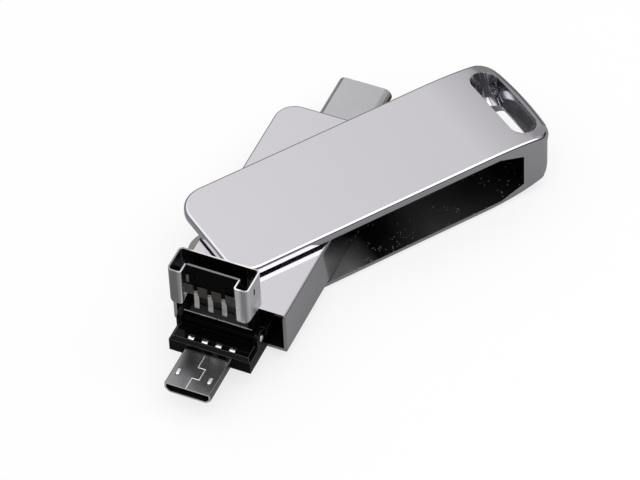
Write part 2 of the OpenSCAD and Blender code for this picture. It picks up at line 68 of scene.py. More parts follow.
# How much of the cover's drooping end has a growing fillet, and how its heel narrows.
FILLET_RUN = 0.85
HEEL_TAPER = 0.05
HERE = Matrix.Identity(4)


def body_matrix():
    """Places what is drawn in the body frame."""
    y = Vector(JOINTS["flip_hinge"]["axis"]).normalized()
    z = Vector((0, 0, 1))
    turn = Matrix((y.cross(z), y, z)).transposed().to_4x4()
    return Matrix.Translation(JOINTS["swivel"]["pos_m"]) @ turn


BODY = body_matrix()
HINGE = Matrix.Translation(BODY.inverted() @ Vector(JOINTS["flip_hinge"]["pos_m"]))
# Stands up what is drawn in the body frame with the flip plug shut.
FLIP = BODY @ HINGE @ Matrix.Rotation(math.radians(-90), 4, "Y") @ HINGE.inverted()


def local_box(node, place=BODY):
    """Lowest and highest corner of a CAD node along the axes of a turned frame."""
    back = place.inverted()
    points = [back @ vertex.co for vertex in frame["nodes"][node].data.vertices]
    low = Vector([min(values) for values in zip(*points)])
    high = Vector([max(values) for values in zip(*points)])
    return low, high


# ---- Shader nodes ----


class Wire:
    """A socket on which Python's signs add Math nodes."""

    def __init__(self, shader, socket):
        self.shader = shader
        self.socket = socket

    def math(self, operation, *values):
        return self.shader.add("Math", dict(enumerate(values)), operation=operation)

    def __add__(self, other):
        return self.math("ADD", self, other)

    def __sub__(self, other):
        return self.math("SUBTRACT", self, other)

    def __rsub__(self, other):
        return self.math("SUBTRACT", other, self)

    def __mul__(self, other):
        return self.math("MULTIPLY", self, other)

    def __gt__(self, other):
        return self.math("GREATER_THAN", self, other)

    def __lt__(self, other):
        return self.math("LESS_THAN", self, other)

    __radd__ = __add__
    __rmul__ = __mul__


class Shader:
    """The node tree of one material or of the world."""

    def __init__(self, owner):
        owner.use_nodes = True
        self.tree = owner.node_tree
        self.tree.nodes.clear()

    def add(self, kind, inputs=None, out=0, stops=(), **settings):
        """Adds a node with its settings first, then its socket values or links."""
        node = self.tree.nodes.new("ShaderNode" + kind)
        for key, value in settings.items():
            setattr(node, key, value)
        if stops:
            self.set_stops(node.color_ramp, stops)
        for key, value in (inputs or {}).items():
            if isinstance(value, Wire):
                self.tree.links.new(value.socket, node.inputs[key])
            else:
                node.inputs[key].default_value = value
        return Wire(self, node.outputs[out]) if node.outputs else None

    def set_stops(self, ramp, stops):
        while len(ramp.elements) < len(stops):
            ramp.elements.new(0.5)
        for element, (position, colour) in zip(ramp.elements, stops):
            element.position = position
            element.color = (*colour, 1.0)

    def mix(self, amount, first, second):
        """Mixes two colours."""
        return self.add("Mix", {0: amount, 6: first, 7: second}, 2, data_type="RGBA")

    def place(self):
        """Object coordinates."""
        return self.add("TexCoord", out=3)

    def noise(self, size, detail=2.0):
        """Soft noise whose patches are about size metres across."""
        place = self.place()
        return self.add("TexNoise", {"Vector": place, "Scale": 1 / size, "Detail": detail})

    def along(self, vector, way):
        """How far a vector reaches along a direction."""
        return self.add("VectorMath", {0: vector, 1: way}, 1, operation="DOT_PRODUCT")

    def scale(self, vector, factor):
        return self.add("VectorMath", {0: vector, "Scale": factor}, operation="SCALE")

    def painted_light(self, colour, places, way):
        """Paints light and shade into a colour: multiplies it by levels that hold at places in mm along a
        direction.
        """
        first, last = places[0][0], places[-1][0]
        most = max(level for place, level in places)
        stops = [
            ((place - first) / (last - first), (level / most,) * 3)
            for place, level in places
        ]
        x = self.along(self.place(), way)
        ends = {"From Min": first * MM, "From Max": last * MM}
        share = self.add("MapRange", {"Value": x, **ends})
        ramp = self.add("ValToRGB", {0: share}, stops=stops)
        shaded = self.add("VectorMath", {0: colour, 1: ramp}, operation="MULTIPLY")
        return self.scale(shaded, most)

    def bump(self, height, depth, strength):
        return self.add("Bump", {"Height": height, "Distance": depth, "Strength": strength})

    def surface(self, **inputs):
        """Ends the tree in a Principled shader."""
        names = {key.replace("_", " "): value for key, value in inputs.items()}
        shader = self.add("BsdfPrincipled", names)
        self.add("OutputMaterial", {"Surface": shader})


# ---- Finishes ----

FINISHES = {}

# How wide the patterns in the finishes are.
SMEARS = 4 * MM
LINES = 0.12 * MM
SPECKS = 0.42 * MM
PATCHES = 5 * MM
FLOW = 3 * MM
GRAIN = 0.15 * MM
# How deep they are.
LINE_DEPTH = 0.002 * MM
GRAIN_DEPTH = 0.004 * MM
TRACK_DEPTH = 0.02 * MM
# A speck's radius as a share of the pattern's width, and its grey.
SPECK_SHARE = 0.13
SPECK_GREY = (0.5, 0.5, 0.5, 1.0)

# Places along X in mm and the levels of the slot's inside there: painted shade, darkest towards the lanyard end,
# and painted light near the middle of the cover.
SLOT_PAINTED_SHADE = (
    (-36, 0.01), (-33, 0.03), (-27, 0.12), (-20, 0.28), (-14, 0.05), (-10.5, 0.02),
    (-8.5, 0.35), (-6, 1.0), (8, 0.6),
)

# Heights in mm and levels on the rear plug's shell: a painted highlight along its upper rounding, painted shade
# below it.
REAR_PLUG_PAINTED_LIGHT = (
    (4.2, 0.1), (5.9, 0.1), (6.1, 0.6), (6.25, 1.9), (6.56, 1.9), (6.59, 1.0), (6.7, 1.0),
)

# Places across the body in mm and levels on the flip plug's shell: painted shade on the left flange and painted
# light on the right flange and the right wall.
FLIP_PLUG_PAINTED_LIGHT = (
    (-6.2, 0.44), (-4.6, 0.46), (-4.1, 0.9), (-3.9, 1.05), (0, 1.0), (3.9, 1.4),
    (4.6, 1.35), (5.1, 0.64), (5.6, 0.7), (5.92, 1.4), (6.2, 1.4),
)


def rgba(colour, factor=1.0):
    return (*[min(1.0, part * factor) for part in colour[:3]], 1.0)


def new_finish(name):
    """The node tree of a new finish, which is kept under its name."""
    FINISHES[name] = bpy.data.materials.new(name)
    return Shader(FINISHES[name])


def metal(name, colour, rough, smear=0.1, scratch=0.0, painted_light=None, way=None):
    """Metal with faint finger smears and, where asked, fine polishing lines."""
    shader = new_finish(name)
    smears = shader.noise(SMEARS, detail=3.0)
    lines = shader.noise(LINES)
    tint = shader.mix(smears, rgba(colour, 1 - smear), rgba(colour, 1 + smear))
    # where a table is given, light and shade are painted along a direction
    if painted_light:
        tint = shader.painted_light(tint, painted_light, way)
    shader.surface(
        Base_Color=tint,
        Metallic=1.0,
        Roughness=smears * (0.5 * rough) + lines * (0.3 * rough) + 0.6 * rough,
        Normal=shader.bump(lines, LINE_DEPTH, scratch),
    )


def speckled(name, colour, rough, metallic, speck_cutoff, painted_light=None):
    """Darker metal on hidden faces as painted shade, with sparse pale specks where the speck cutoff is under 1."""
    shader = new_finish(name)
    spots = shader.add("TexVoronoi", {"Vector": shader.place(), "Scale": 1 / SPECKS})
    patches = shader.noise(PATCHES)
    bright = (spots < SPECK_SHARE) * (patches > speck_cutoff)
    tone = shader.mix(patches, rgba(colour, 0.7), rgba(colour, 1.3))
    # where a table is given, shade and light are painted along X
    if painted_light:
        tone = shader.painted_light(tone, painted_light, (1, 0, 0))
    shader.surface(
        Base_Color=shader.mix(bright, tone, SPECK_GREY),
        Metallic=metallic - bright * metallic,
        Roughness=bright * 0.3 + rough,
    )


def plastic(name, colour, rough, grain=0.05, shine=0.5):
    """Moulded plastic with a fine grain and slightly uneven gloss."""
    shader = new_finish(name)
    flow = shader.noise(FLOW)
    pits = shader.noise(GRAIN, detail=3.0)
    shader.surface(
        Base_Color=shader.mix(flow, rgba(colour, 0.8), rgba(colour, 1.2)),
        Roughness=flow * (0.4 * rough) + 0.8 * rough,
        Specular_IOR_Level=shine,
        Normal=shader.bump(pits, GRAIN_DEPTH, grain),
    )


def board_finish(name, colour):
    """Solder resist over copper tracks that run aslant."""
    shader = new_finish(name)
    turned = shader.add("Mapping", {"Vector": shader.place(), "Rotation": (0, 0, 0.6)})
    waves = shader.add(
        "TexWave",
        {"Vector": turned, "Scale": 900.0, "Distortion": 3.0},
        wave_type="BANDS",
        bands_direction="X",
    )
    tracks = waves > 0.6
    shader.surface(
        Base_Color=shader.mix(tracks, rgba(colour), rgba(colour, 1.8)),
        Roughness=tracks * 0.1 + 0.3,
        Normal=shader.bump(tracks, TRACK_DEPTH, 0.5),
    )


def slot_colour(slot):
    """The record's colour of a material slot."""
    found = [entry for entry in frame["record"]["materials"] if entry["slot"] == slot]
    return found[0]["base_color"]


def fill_finishes(finish):
    """Makes every finish: name, colour, roughness, then what sets it apart."""
    metal("polished_metal", finish.polished, finish.polish, smear=0.012, scratch=0.02)
    metal("hole_metal", finish.hole, 0.13, smear=0.06, scratch=0.02)
    metal("micro_metal", finish.micro, 0.24, smear=0.14, scratch=0.05)
    # near-white steel: painted highlight on the seam, the small plug's front rim and the ledge's edge, and partly
    # on the hooks and pin ends
    metal("steel_painted_highlight", finish.bright, 0.4)
    metal("sheet_painted_shade", finish.sheet_painted_shade, 0.25)
    metal("land_plating", finish.land_tone, 0.3, smear=0.25, scratch=0.3)
    # the rear plug's plating, with a painted highlight and painted shade by height
    metal("satin_metal", finish.satin, 0.3, 0.12, 0.15, REAR_PLUG_PAINTED_LIGHT, (0, 0, 1))
    # the flip plug's plating, with painted shade and light across the body
    across = BODY.col[1][:3]
    metal("plug_metal", finish.plug, 0.16, 0.03, 0.1, FLIP_PLUG_PAINTED_LIGHT, across)
    # near-black painted shade on the inner faces of the sleeve and the small plug
    speckled("painted_shade_inside", finish.inside, 0.22, 0.2, speck_cutoff=1.0)
    # the slot's inside: a darker copy of the polished metal as painted shade, with painted shade and light along X
    speckled("slot_inside", finish.slot, 0.3, 0.75, speck_cutoff=0.48, painted_light=SLOT_PAINTED_SHADE)
    plastic("black_plastic", finish.black, 0.3, shine=0.25)
    plastic("gloss_black", finish.black, 0.1, grain=0.03, shine=0.1)
    plastic("tongue_black", finish.black, 0.3, shine=0.03)
    plastic("black_painted_highlight", finish.edge_painted_highlight, 0.35)
    plastic("tongue_painted_highlight", finish.tongue_painted_highlight, 0.4)
    plastic("matte_ledge_black", finish.ledge_tone, 0.5, grain=0.6)
    board_finish("board", slot_colour("board"))
    own_metals = (
        ("turned_steel", 0.15, 0.3),
        ("spring_steel", 0.18, 0.1),
        ("gold", 0.2, 0.0),
        ("spring_contacts", 0.2, 0.0),
    )
    for name, rough, scratch in own_metals:
        metal(name, slot_colour(name), rough, scratch=scratch)
    for name, rough in (("washer_plastic", 0.4), ("chip_resin", 0.5), ("ceramic", 0.4)):
        plastic(name, slot_colour(name), rough)


class MakeFinishes(bpy.types.Operator):
    """Make the materials that the pieces use"""

    bl_idname = "flash_drive.finishes"
    bl_label = "Finishes"

    def execute(self, context):
        fill_finishes(context.scene.drive_finish)
        return {"FINISHED"}


# ---- Mesh helpers ----


def block(bm, low, high):
    """A box between two corners. Returns its edges."""
    middle = (Vector(low) + Vector(high)) / 2
    size = Vector(high) - Vector(low)
    matrix = Matrix.Translation(middle) @ Matrix.Diagonal((*size, 1))
    return edges_of(bmesh.ops.create_cube(bm, size=1, matrix=matrix)["verts"])


def edges_of(verts):
    return list(dict.fromkeys(edge for vert in verts for edge in vert.link_edges))


def bevel_edges(bm, edges, offset, segments):
    bmesh.ops.bevel(
        bm, geom=edges, offset=offset, offset_type="OFFSET", affect="EDGES",
        segments=segments, profile=0.5, material=-1, clamp_overlap=False,
    )


def runs_along(edge, axis):
    """Whether an edge is parallel to axis 0, 1 or 2."""
    step = edge.verts[0].co - edge.verts[1].co
    return all(abs(step[i]) < NEAR / 10 for i in range(3) if i != axis)


def edges_at(bm, axis, **places):
    """Edges along an axis whose x, y or z are at the given places."""
    found = [edge for edge in bm.edges if runs_along(edge, axis)]
    for key, value in places.items():
        found = [e for e in found if abs(getattr(e.verts[0].co, key) - value) < NEAR]
    return found


def push(bm, grown, step):
    """Moves the corners of what was just extruded."""
    moved = [item for item in grown["geom"] if isinstance(item, bmesh.types.BMVert)]
    bmesh.ops.translate(bm, verts=moved, vec=step)


def outline_prism(bm, points, axis, start, end):
    """Extrudes a closed outline, given in the two other axes, from start to end."""
    verts = []
    for pair in points:
        co = list(pair)
        co.insert(axis, start)
        verts.append(bm.verts.new(co))
    face = bm.faces.new(verts)
    step = [0.0, 0.0]
    step.insert(axis, end - start)
    push(bm, bmesh.ops.extrude_face_region(bm, geom=[face]), step)
    bmesh.ops.recalc_face_normals(bm, faces=bm.faces)


def swept_sheet(bm, points, step):
    """A sheet without thickness: a chain of edges through points, swept by a step."""
    verts = [bm.verts.new(point) for point in points]
    edges = [bm.edges.new(pair) for pair in zip(verts, verts[1:])]
    push(bm, bmesh.ops.extrude_edge_only(bm, edges=edges), step)


def stadium_ring(bm, axis, width, length, centre):
    """A ring of edges with round ends, around axis 0 or 2, long side along Y."""
    turn = Matrix.Rotation(math.pi / 2, 4, "Y") if axis == 0 else HERE
    circle = bmesh.ops.create_circle(bm, radius=width / 2, segments=48, matrix=turn)
    ring = circle["verts"]
    shift = (length - width) / 2
    for vert in ring:
        vert.co.y += math.copysign(shift, vert.co.y) if abs(vert.co.y) > 1e-9 else 0
    bmesh.ops.translate(bm, verts=ring, vec=centre)
    return edges_of(ring)


def loft(bm, rings):
    """Bridges rings of edges in order."""
    for first, second in zip(rings, rings[1:]):
        bmesh.ops.bridge_loops(bm, edges=first + second)


def oval_tube(bm, low, high, gap=0.0):
    """An open tube along X with round sides, around a box with a gap."""
    width = high.z - low.z + 2 * gap
    span = high.y - low.y + 2 * gap
    z = (low.z + high.z) / 2
    loft(bm, [stadium_ring(bm, 0, width, span, (x, 0, z)) for x in (low.x, high.x)])


def cap(bm):
    bmesh.ops.holes_fill(bm, edges=[e for e in bm.edges if e.is_boundary], sides=0)


def add_object(name, data):
    obj = bpy.data.objects.new(name, data)
    bpy.context.scene.collection.objects.link(obj)
    return obj


def as_object(name, bm, *finishes):
    """Turns a bmesh into an object of the scene."""
    mesh = bpy.data.meshes.new(name)
    bm.to_mesh(mesh)
    bm.free()
    for finish in finishes:
        mesh.materials.append(FINISHES[finish])
    return add_object(name, mesh)


def thing(name, bm, *finishes):
    """Turns a bmesh into an object whose faces look outwards."""
    bmesh.ops.recalc_face_normals(bm, faces=bm.faces)
    return as_object(name, bm, *finishes)


def modify(obj, kind, **settings):
    """Makes what a modifier shows the object's own mesh."""
    modifier = obj.modifiers.new(kind.lower(), kind)
    for key, value in settings.items():
        setattr(modifier, key, value)
    graph = bpy.context.evaluated_depsgraph_get()
    mesh = bpy.data.meshes.new_from_object(obj.evaluated_get(graph))
    obj.modifiers.clear()
    obj.data = mesh


def carve(obj, cutter):
    """Cuts a closed object out of this one. The cut keeps the cutter's finish."""
    modify(obj, "BOOLEAN", solver="EXACT", material_mode="TRANSFER", object=cutter)
    bpy.data.objects.remove(cutter)


def cut_block(obj, low, high, finish):
    bm = bmesh.new()
    block(bm, low, high)
    carve(obj, thing("cutter", bm, finish))


def give_wall(obj, wall, inner=0):
    """Gives a sheet its wall, inwards. The inner faces can take the next finish."""
    modify(
        obj, "SOLIDIFY", thickness=wall, offset=-1, use_even_offset=True,
        material_offset=inner,
    )


def round_edges(obj, width, segments=2, angle=30, finish=-1):
    """Rounds the edges that are sharper than an angle, over a width in mm."""
    modify(
        obj, "BEVEL", width=width * MM, segments=segments, limit_method="ANGLE",
        angle_limit=math.radians(angle), material=finish,
    )
    # takes out the edges of no length that a cut can leave
    bm = bmesh.new()
    bm.from_mesh(obj.data)
    bmesh.ops.dissolve_degenerate(bm, edges=bm.edges, dist=NEAR / 5)
    bm.to_mesh(obj.data)
    bm.free()


# How a piece's edges are rounded at the end: width in mm, then segments, the angle in
# degrees from which an edge is sharp, and the number of the finish on the rounding.
ROUNDING = {
    "swivel_cover": (0.1, 3, 20),
    "body_sleeve_skin": (0.08,),
    "usb_c_skin": (0.09, 3),
    # the carrier's rounding takes its second finish, a lighter black as painted highlight along its edges
    "carrier_block": (0.06, 2, 30, 1),
    "steel_pin": (0.12, 3),
    "flip_skin": (0.095, 3),
    "flip_core": (0.06,),
    "fingers": (0.03,),
}
ROUNDING |= dict.fromkeys(("pads", "roof_painted_shade", "strip_painted_highlight", "ledge_painted_highlight"), (0.02,))


def place_piece(obj, body, slot, *nodes, place=BODY, angle=40):
    """Rounds a piece, makes its shading smooth up to an angle, puts it in the row frame and names its body and the
    CAD nodes that it shows. The slot is not used."""
    if obj.name in ROUNDING:
        round_edges(obj, *ROUNDING[obj.name])
    for polygon in obj.data.polygons:
        polygon.use_smooth = True
    obj.data.set_sharp_from_angle(angle=math.radians(angle))
    normals = obj.modifiers.new("normals", "WEIGHTED_NORMAL")
    normals.keep_sharp = True
    normals.weight = 80
    obj.data.transform(place)
    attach(obj, body)
    if nodes:
        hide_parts(*nodes)


# ---- Settings ----


def number(name, text, value, **more):
    return bpy.props.FloatProperty(name=name, description=text, default=value, **more)


def length(name, text, value):
    """A length, given in mm."""
    return number(name, text, value * MM, unit="LENGTH", precision=5)


def degrees(name, text, value):
    """An angle, given in degrees."""
    return number(name, text, math.radians(value), subtype="ANGLE")


def colour(name, text, value):
    return bpy.props.FloatVectorProperty(
        name=name, description=text, default=value, size=3, subtype="COLOR", min=0, max=1
    )


class CoverSettings(bpy.types.PropertyGroup):
    """Sizes of the swivel cover."""

    front_r: length("Front corners", "Corner radius of the plates in plan", 4)
    end_r: length("End corners", "Corner radius in plan at the lanyard end", 2.4)
    end_bow: length("End bow", "How far the lanyard end bows out in plan", 0.7)
    edge: length("Edge", "Radius of the upper edges", 0.5)
    low_edge: length("Lower edge", "Radius of the lower edges", 1.0)
    end_edge: length("End edge", "Radius of the upper edges at the lanyard end", 0.75)
    plate: length("Plate", "Thickness of each plate", 1.25)
    end_block: length("End block", "Solid length at the lanyard end", 5.7)
    slot_wall: length("Slot wall", "Height of the slot's inner wall", 5.5)
    slot_slope: length("Slot slope", "Length of the slot's inner slopes", 3.95)
    droop: length("Droop", "How far the top comes down at the end", 0.8)
    rise: length("Rise", "How far the underside rises at the end", 2.2)
    droop_run: length("Droop run", "Length over which they come together", 12)
    lip_run: length("End lip", "Length over which the top falls off at the end", 4.0)
    lip_drop: length("End lip drop", "How far it falls off in the middle", 0.2)
    corner_drop: length("Corner drop", "How far it falls off more at the corners", 0.3)
    heel: length("Heel", "Rounding under the lanyard end", 2.4)
    rim_l: length("Hole length", "Length of the hole at the surface", 14.0)
    rim_w: length("Hole width", "Width of the hole at the surface", 4.3)
    well_l: length("Well length", "Length of the hole below its bevel", 11.6)
    well_w: length("Well width", "Width of the hole below its bevel", 3.7)
    throat_l: length("Throat length", "Length of the hole at mid height", 9.0)
    well_z: length("Well height", "Half height of the straight part", 3.0)
    throat_z: length("Throat height", "Half height of the throat's bevels", 1.0)
    ridge: length("Ridge", "Narrow ridge round the hole at mid height", 0.15)
    lanyard_wall: length("End wall", "Wall left outside the hole", 1.5)
    step_l: length("Step length", "Length of the hole where its bevels start", 11.0)
    flare: number("Flare", "Slope of the hole's lower half", 0.56)


class BodySettings(bpy.types.PropertyGroup):
    """Sizes of the sleeve and of what it holds."""

    rear_r: length("Rear corners", "Corner radius in plan at the rear", 3)
    edge: length("Edge", "Radius of the long edges", 0.35)
    wall: length("Wall", "Sheet thickness of the sleeve", 0.5)
    stud_d: length("Stud hole", "Diameter of the pivot holes", 4.06)
    gap: length("Gap", "Gap around fitted pieces", 0.03)


class PlugSettings(bpy.types.PropertyGroup):
    """Sizes of the three plugs."""

    thin: length("Thin wall", "Sheet of the small plugs", 0.25)
    sheet: length("Sheet", "Sheet of the flip plug", 0.25)
    bend: length("Bend", "Outer bend radius of the flip plug", 0.7)
    lip_gap: length("Lip gap", "Clear width between the folded lips", 7.75)
    micro_bevel: length("Lower bevel", "Bevel of the small plug's lower corners", 0.65)
    clear: length("Clearance", "Room between the small plug and the shut tongue", 0.02)
    ledge: length("Ledge", "Height of the block's ledge when the plug stands", 3.0)
    fold: length("Fold", "Outer radius of the lips' folds", 0.4)
    lip: length("Lips", "Depth of the folded lips", 1.88)
    flange_round: length("Flange rounding", "Setback where the lips fold", 0.35)
    corner_round: length("Corner rounding", "Setback at the outer bends", 0.5)
    lip_slant: length("Lip slant", "Setback at the lips' inner edges", 0.9)
    tail: length("Tail", "Length of the broad wall behind the sides", 4.35)
    tab_back: length("Tabs back", "Mouth to the rear of the side slots", 2.63)
    tab_len: length("Tabs", "Length of the slots in the sides", 1.36)
    tongue: length("Tongue", "Thickness of the tongue", 0.35)
    gap: length("Gap", "Gap around fitted pieces", 0.03)
    pitch: length("Pitch", "Pitch of the four contacts", 2.06)
    finger_w: length("Finger width", "Width of each spring finger", 0.75)
    finger_t: length("Finger sheet", "Thickness of the fingers", 0.12)
    strip_len: length("Strips", "Length of the contact strips", 4.4)
    slot_w: length("Slots", "Width of the slots around the fingers", 0.62)
    land_back: length("Lands back", "Mouth to the rear of the lands", 5.9)
    land_shift: length("Lands aside", "How far the lands lie off the middle", 0.3)
    corner: length("Tongue corners", "How far the tongue's corners are set back", 1.2)
    land_front: length("Lands front", "Mouth to the front of the lands", 4.05)
    micro_round: length("Slot edges", "Rounding of the small plug's edges", 0.07)
    pad_w: length("Pad width", "Width of the carrier's contacts", 0.8)
    pad_t: length("Pad sheet", "Thickness of the carrier's contacts", 0.1)
    seam: length("Seam", "Width of the seam's groove", 0.13)
    seam_y: length("Seam aside", "Where the seam runs at both ends", -0.2)
    seam_step: length("Seam step", "How far the seam steps aside", 1.07)
    seam_back: length("Seam back", "Tip to the seam's rear step", 4.05)
    seam_front: length("Seam front", "Tip to the seam's front step", 2.03)
    hook_w: length("Hook width", "Width of the sprung hooks", 0.55)
    hook_len: length("Hook length", "Length of the sprung hooks", 1.25)
    hook_root: length("Hook root", "Bar that joins the two arms", 0.7)
    hook_round: length("Hook crown", "Rounding of the hooks' tops", 0.16)
    arm: length("Arms", "Thickness of the hooks' arms", 0.15)
    slot_room: length("Slot room", "Gap around each hook", 0.05)


class FinishSettings(bpy.types.PropertyGroup):
    """Colours and gloss of the main finishes."""

    polished: colour("Polished metal", "Cover and sleeve", (0.62, 0.61, 0.64))
    polish: number("Polish", "Roughness of the polished metal", 0.07)
    # near-black, as painted shade on the inner faces of the sleeve and the small plug
    inside: colour("Inside", "Faces inside the sleeve", (0.008, 0.0075, 0.006))
    # a darker copy of the polished metal, as painted shade inside the slot
    slot: colour("Slot", "Faces inside the cover's slot", (0.42, 0.41, 0.4))
    hole: colour("Hole", "Inside of the lanyard hole", (0.52, 0.51, 0.54))
    micro: colour("Front plug", "Plating of the small front plug", (0.26, 0.26, 0.265))
    # near-white: painted highlight on the seam, the small plug's front rim and the ledge's edge, partly on the
    # hooks and pin ends
    bright: colour("Bright steel", "Hooks and pin ends", (0.95, 0.95, 0.96))
    # a darker copy of the plug's plating for its inner faces: painted shade
    sheet_painted_shade: colour("Sheet inside", "Inside of the flip plug", (0.3, 0.3, 0.33))
    satin: colour("Satin metal", "Plating of the rear plug", (0.5, 0.5, 0.51))
    # a lighter, rougher black for the ledge's upper face
    ledge_tone: colour("Scuffed black", "Worn ledge in the flip plug", (0.028, 0.027, 0.026))
    # lighter black as painted highlight along the carrier's rounded edges
    edge_painted_highlight: colour("Rubbed black", "Edges of the carrier", (0.09, 0.09, 0.1))
    # lighter black as painted highlight on the tongue's outer end and on a strip along its edge
    tongue_painted_highlight: colour("Tongue edge", "Rubbed front edge of the tongue", (0.16, 0.16, 0.17))
    plug: colour("Flip plug", "Plated sheet of the flip plug", (0.7, 0.7, 0.71))
    # a dim, brownish plating for the lands
    land_tone: colour("Worn plating", "Lands around the contact fingers", (0.11, 0.1, 0.09))
    black: colour("Black plastic", "Carrier and blocks", (0.0015, 0.0015, 0.0018))


class StageSettings(bpy.types.PropertyGroup):
    """Camera and light."""

    room_light: number("Room light", "Strength of the room's soft light", 1.08)
    floor_gloss: number("Mirrored floor", "Floor's level in polished metal", 0.08)
    lamp: number("Softbox", "Power of the overhead softbox", 6.0, unit="POWER")
    lamp_turn: degrees("Softbox turn", "Heading of the softbox from the drive", 114)
    lamp_tilt: degrees("Softbox tilt", "Height of the softbox as an angle", 62)
    camera_turn: degrees("Turn", "Heading of the view", -119.13)
    camera_tilt: degrees("Tilt", "Angle below level of the view", 46.96)
    camera_roll: degrees("Roll", "Roll of the camera", -2.81)
    distance: length("Distance", "Camera to the swivel axis", 609.4)
    focal: number("Focal length", "Lens, in mm", 245.6, subtype="DISTANCE_CAMERA")
    sideways: length("Sideways", "Swivel axis to the view's centre", -5.26)
    upwards: length("Upwards", "Swivel axis over the view's centre", 1.53)


# ---- Pieces ----


def rim_edges(bm, side=0):
    """Edges between the upper (1) or lower (-1) face of a block and its sides."""
    found = []
    for edge in bm.edges:
        if len(edge.link_faces) == 2:
            tilt = sorted(abs(face.normal.z) for face in edge.link_faces)
            up = sum(face.normal.z for face in edge.link_faces)
            if tilt[0] < 0.2 and tilt[1] > 0.9 and up * side >= 0:
                found.append(edge)
    return found


def bisect(bm, axis, place, top):
    """Cuts the faces that lie below a height, at a place along an axis."""
    point = Vector()
    point[axis] = place
    normal = Vector()
    normal[axis] = 1
    faces = [f for f in bm.faces if max(v.co.z for v in f.verts) < top + NEAR]
    geometry = dict.fromkeys(item for f in faces for item in (f, *f.edges, *f.verts))
    bmesh.ops.bisect_plane(
        bm, geom=list(geometry), dist=2 * NEAR, plane_co=point, plane_no=normal
    )


def inset_way(co, low, high, size):
    """How far inside a block's outline in plan a point lies, and the way inwards."""
    end = co.x < (low.x + high.x) / 2
    radius = size.end_r if end else size.front_r
    across = low.x + radius - co.x if end else co.x - high.x + radius
    beside = abs(co.y) - high.y + radius
    if beside < min(0, across):
        beside = 0
    across = max(0, across)
    out = Vector((-across if end else across, math.copysign(beside, co.y), 0))
    return radius - out.length, -out.normalized()


def grow_fillet(bm, low, high, size):
    """Widens the upper rim's even fillet towards the lanyard end."""
    grow = size.droop_run * FILLET_RUN
    for vert in bm.verts:
        depth, way = inset_way(vert.co, low, high, size)
        if vert.co.z < high.z - size.edge - NEAR / 10 or depth > size.edge + NEAR / 10:
            continue
        share = max(0.0, min(1.0, (low.x + grow - vert.co.x) / grow))
        more = (size.end_edge / size.edge - 1) * share * share
        vert.co += way * (depth * more)
        vert.co.z -= (high.z - vert.co.z) * more


def bend_end(bm, low, high, size):
    """Brings the top and the underside together at the lanyard end, and bows it out."""
    start = low.x + size.droop_run
    heel_x = low.x + size.heel
    middle = (low.z + high.z) / 2
    # the underside's long arc runs into the heel's small one
    rise_r = (size.droop_run**2 + size.rise**2) / (2 * size.rise)
    steep = math.asin((size.droop_run - size.heel) / (rise_r - size.heel))
    heel_z = rise_r - (rise_r - size.heel) * math.cos(steep)
    for vert in bm.verts:
        run = max(0.0, start - vert.co.x)
        if vert.co.z > middle:
            vert.co.z -= size.droop * (run / size.droop_run) ** 2
            lip = max(0.0, 1 - (vert.co.x - low.x) / size.lip_run)
            fall = size.lip_drop + size.corner_drop * (abs(vert.co.y) / high.y) ** 3
            vert.co.z -= fall * lip**2
        elif run < rise_r * math.sin(steep):
            vert.co.z += rise_r - math.sqrt(rise_r**2 - run**2)
        else:
            reach = heel_x - vert.co.x
            vert.co.z += heel_z - math.sqrt(max(0.0, size.heel**2 - reach**2))
            share = (reach + size.heel / 2) / (1.5 * size.heel)
            vert.co.y *= 1 - HEEL_TAPER * share**2
        near_end = max(0.0, 1 - (vert.co.x - low.x) / (size.droop_run / 2))
        vert.co.x += size.end_bow * near_end * (vert.co.y / high.y) ** 2


def cover_block(size):
    """The cover without its slot and hole, cut into a grid where it bends."""
    low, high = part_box("cover")
    bm = bmesh.new()
    block(bm, low, high)
    bevel_edges(bm, edges_at(bm, 2, x=high.x), size.front_r, 12)
    bevel_edges(bm, edges_at(bm, 2, x=low.x), size.end_r, 12)
    bevel_edges(bm, rim_edges(bm, 1), size.edge, 6)
    bevel_edges(bm, rim_edges(bm, -1), size.low_edge, 6)
    middle = (low.z + high.z) / 2
    bisect(bm, 2, middle, high.z)
    for i in range(-3, 4):
        bisect(bm, 1, i * high.y / 4, high.z)
    for i in range(13):
        bisect(bm, 0, low.x + size.droop_run - size.droop_run * i / 16, high.z)
    for i in range(1, 10):
        turn = math.radians(9 * i)
        bisect(bm, 0, low.x + size.heel - size.heel * math.sin(turn), middle)
    grow_fillet(bm, low, high, size)
    bend_end(bm, low, high, size)
    return thing("swivel_cover", bm, "polished_metal")


def lanyard_cutter(size):
    """The hole: a bevelled well, a narrow ridge, and a lower half that opens aslant."""
    low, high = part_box("cover")
    middle = (low.z + high.z) / 2
    half = middle - low.z
    x = low.x + size.lanyard_wall + size.well_w / 2
    rim_z = half - size.droop / 2
    spread = (half + OVER - size.well_z) / (rim_z - size.well_z)
    top_w = size.well_w + (size.rim_w - size.well_w) * spread
    top_l = size.well_l + (size.rim_l - size.well_l) * spread
    steps = [
        (half + OVER, top_w, top_l),
        (size.well_z, size.well_w, size.well_l),
        (size.throat_z, size.well_w, size.step_l),
        (size.ridge, size.well_w, size.throat_l + 2 * size.ridge),
        (0, size.well_w - 2 * size.ridge, size.throat_l),
    ]
    # below mid height the hole opens towards the lanyard end
    for z, span in ((-size.throat_z, size.step_l), (-half - OVER, size.rim_l)):
        steps.append((z, size.well_w - size.flare * z, span))
    bm = bmesh.new()
    rings = [
        stadium_ring(bm, 2, w, span, (x + min(z, 0) * size.flare / 2, 0, middle + z))
        for z, w, span in steps
    ]
    loft(bm, rings)
    cap(bm)
    return thing("cutter", bm, "hole_metal")


